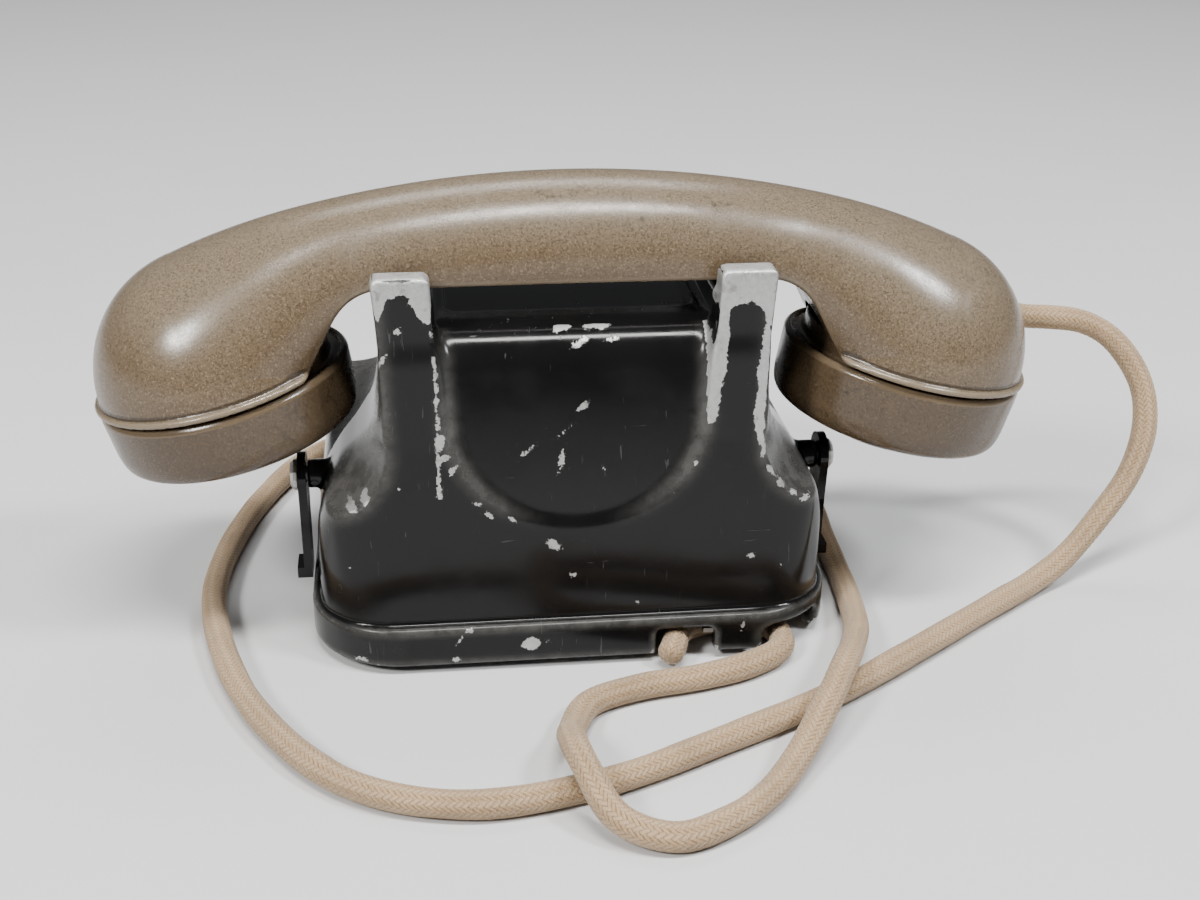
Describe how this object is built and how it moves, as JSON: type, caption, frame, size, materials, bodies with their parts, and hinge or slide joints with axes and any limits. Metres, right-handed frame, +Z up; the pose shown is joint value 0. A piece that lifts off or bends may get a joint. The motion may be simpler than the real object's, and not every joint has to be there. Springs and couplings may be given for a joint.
{
  "type": "desk telephone",
  "caption": "Desk telephone: enamelled cast housing with a pronged cradle, arched handset on a braided cord, sloping rotary dial, and bell, hook switch and speech parts inside.",
  "frame": {"origin": "centre of the flat underside of the base plate's tray; the feet reach 1.5 mm below it", "axes": "+X along the handset towards the mouthpiece, +Y from the steep back towards the dial, +Z up"},
  "size_m": [0.2884, 0.2332, 0.1191],
  "materials": {
    "enamel_black": "gloss stove enamel, worn to bare alloy on edges",
    "ebonite": "speckled grey-brown, satin from handling",
    "dark_ebonite": "speckled dark brown, satin",
    "black_plastic": "black, satin",
    "plated_steel": "dull zinc plated",
    "nickel": "nickel plated, lightly tarnished",
    "brass": "aged",
    "winding": "varnished wire winding",
    "foot_rubber": "matte",
    "braided_cotton": "tight herringbone braid",
    "porcelain": "vitreous enamel"
  },
  "bodies": {
    "root": {"housing": "enamel_black", "base_plate": "plated_steel", "foot_1": "foot_rubber", "foot_2": "foot_rubber", "foot_3": "foot_rubber", "foot_4": "foot_rubber", "base_screw_1": "plated_steel", "base_screw_2": "plated_steel", "base_screw_3": "plated_steel", "base_screw_4": "plated_steel", "dial_case": "enamel_black", "number_plate": "porcelain", "finger_stop": "nickel", "handset_cord": "braided_cotton", "cord_clip": "plated_steel", "left_latch_screw": "plated_steel", "right_latch_screw": "plated_steel", "left_gong": "nickel", "right_gong": "nickel", "left_gong_post": "brass", "right_gong_post": "brass", "left_coil": "winding", "right_coil": "winding", "hook_pin": "plated_steel", "hook_bracket": "plated_steel", "contact_springs": "brass", "ringer_yoke": "plated_steel", "ringer_magnet": "plated_steel", "clapper_pivot": "plated_steel", "induction_coil": "winding", "capacitor": "plated_steel", "terminal_strip": "dark_ebonite"},
    "handset": {"handset_shell": "ebonite", "mouthpiece_insert": "black_plastic", "cord_bush": "black_plastic", "earpiece_cap": "dark_ebonite", "receiver_capsule": "plated_steel", "mouthpiece_cap": "dark_ebonite", "transmitter_capsule": "plated_steel"},
    "dial_wheel": {"finger_wheel": "nickel", "dial_spindle": "brass", "dial_centre": "nickel"},
    "left_plunger_body": {"left_plunger": "brass"},
    "right_plunger_body": {"right_plunger": "brass"},
    "hook_yoke_body": {"hook_yoke": "plated_steel"},
    "clapper_body": {"clapper": "plated_steel"},
    "left_latch_body": {"left_latch": "enamel_black"},
    "right_latch_body": {"right_latch": "enamel_black"}
  },
  "joints": [
    {"name": "handset_lift", "type": "slide", "parent": "root", "child": "handset", "axis": [0, 0, 1], "range_m": [0, 0.06]},
    {"name": "left_plunger_rise", "type": "slide", "parent": "root", "child": "left_plunger_body", "axis": [0, 0, 1], "range_m": [0, 0.005]},
    {"name": "right_plunger_rise", "type": "slide", "parent": "root", "child": "right_plunger_body", "axis": [0, 0, 1], "range_m": [0, 0.005]},
    {"name": "hook_yoke_tilt", "type": "hinge", "parent": "root", "child": "hook_yoke_body", "pos_m": [0, -0.054, 0.058], "axis": [1, 0, 0], "range_deg": [0, 14]},
    {"name": "dial_turn", "type": "hinge", "parent": "root", "child": "dial_wheel", "pos_m": [0, 0.0255, 0.0555], "axis": [0, -0.7071, -0.7071], "range_deg": [0, 333]},
    {"name": "clapper_swing", "type": "hinge", "parent": "root", "child": "clapper_body", "pos_m": [0, -0.0144, 0.02], "axis": [0, 0, 1], "range_deg": [-6, 6]},
    {"name": "left_latch_swing", "type": "hinge", "parent": "root", "child": "left_latch_body", "pos_m": [-0.0695, -0.035, 0.038], "axis": [1, 0, 0], "range_deg": [0, 90]},
    {"name": "right_latch_swing", "type": "hinge", "parent": "root", "child": "right_latch_body", "pos_m": [0.0695, -0.035, 0.038], "axis": [1, 0, 0], "range_deg": [0, 90]}
  ],
  "couplings": [
    {"joint": "left_plunger_rise", "follows": "handset_lift", "ratio": 0.08333},
    {"joint": "right_plunger_rise", "follows": "handset_lift", "ratio": 0.08333},
    {"joint": "hook_yoke_tilt", "follows": "handset_lift", "rad_per_m": 4.072}
  ]
}
